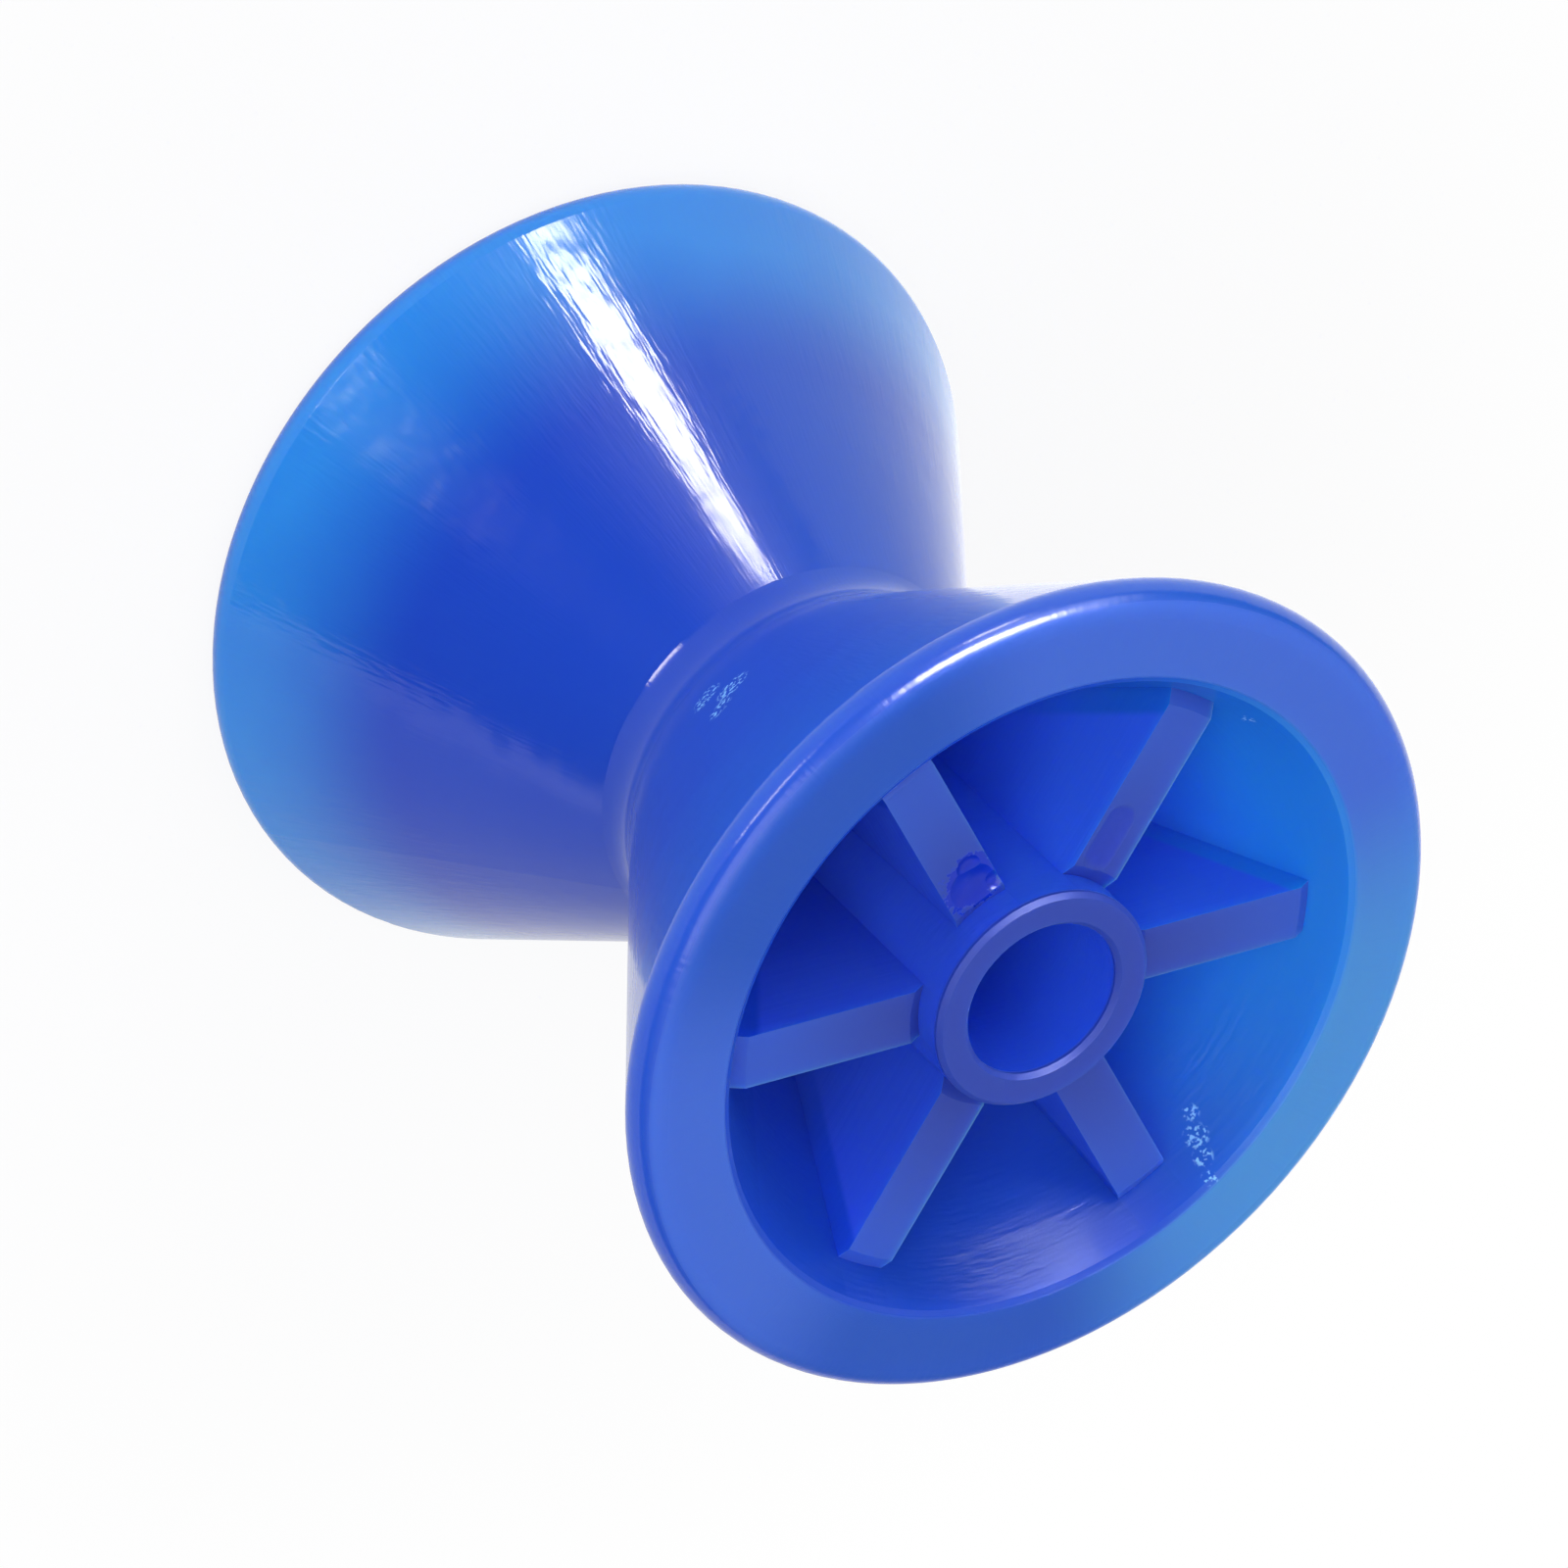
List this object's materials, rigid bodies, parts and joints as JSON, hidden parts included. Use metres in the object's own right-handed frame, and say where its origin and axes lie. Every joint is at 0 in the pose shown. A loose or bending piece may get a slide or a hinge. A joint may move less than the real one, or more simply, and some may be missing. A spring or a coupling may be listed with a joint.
{
  "type": "boat trailer roller",
  "caption": "Hourglass bow roller for a boat trailer, moulded in one piece: two hollow flares, a narrow waist, and a ribbed hub with a plain bore.",
  "frame": {"origin": "middle of the bore, halfway between the two end faces", "axes": "+Z along the bore towards the upper end face; +X midway between two ribs"},
  "size_m": [0.076, 0.076, 0.08],
  "materials": {
    "roller": "glossy translucent blue polyurethane, duller on the moulded end faces"
  },
  "bodies": {
    "root": {"roller": "roller"}
  },
  "joints": []
}
